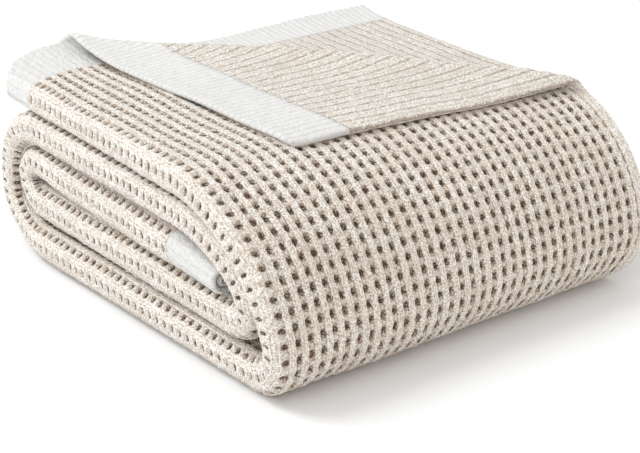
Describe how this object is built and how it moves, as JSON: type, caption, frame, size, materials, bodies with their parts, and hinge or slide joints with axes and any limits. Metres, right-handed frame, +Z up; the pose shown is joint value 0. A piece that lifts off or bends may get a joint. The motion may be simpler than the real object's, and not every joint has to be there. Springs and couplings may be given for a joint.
{
  "type": "chenille throw blanket",
  "caption": "Cream chenille waffle-knit throw with white end bands, folded and rolled into a low flat bundle with one corner turned back.",
  "frame": {"origin": "on the floor plane, under the middle of the folded throw's bounding box", "axes": "+Z up; +X towards the smooth rounded turn of the roll, -X towards the throw's outer end with its white band; -Y towards the stacked rounded folds of the strip, +Y towards the loose side edges"},
  "size_m": [0.3576, 0.3548, 0.1464],
  "materials": {
    "chenille": "matt cream-beige chenille pile in a waffle knit",
    "chenille_band": "matt white chenille pile in a fine rib"
  },
  "bodies": {
    "root": {"folded_throw": "chenille"}
  },
  "joints": []
}
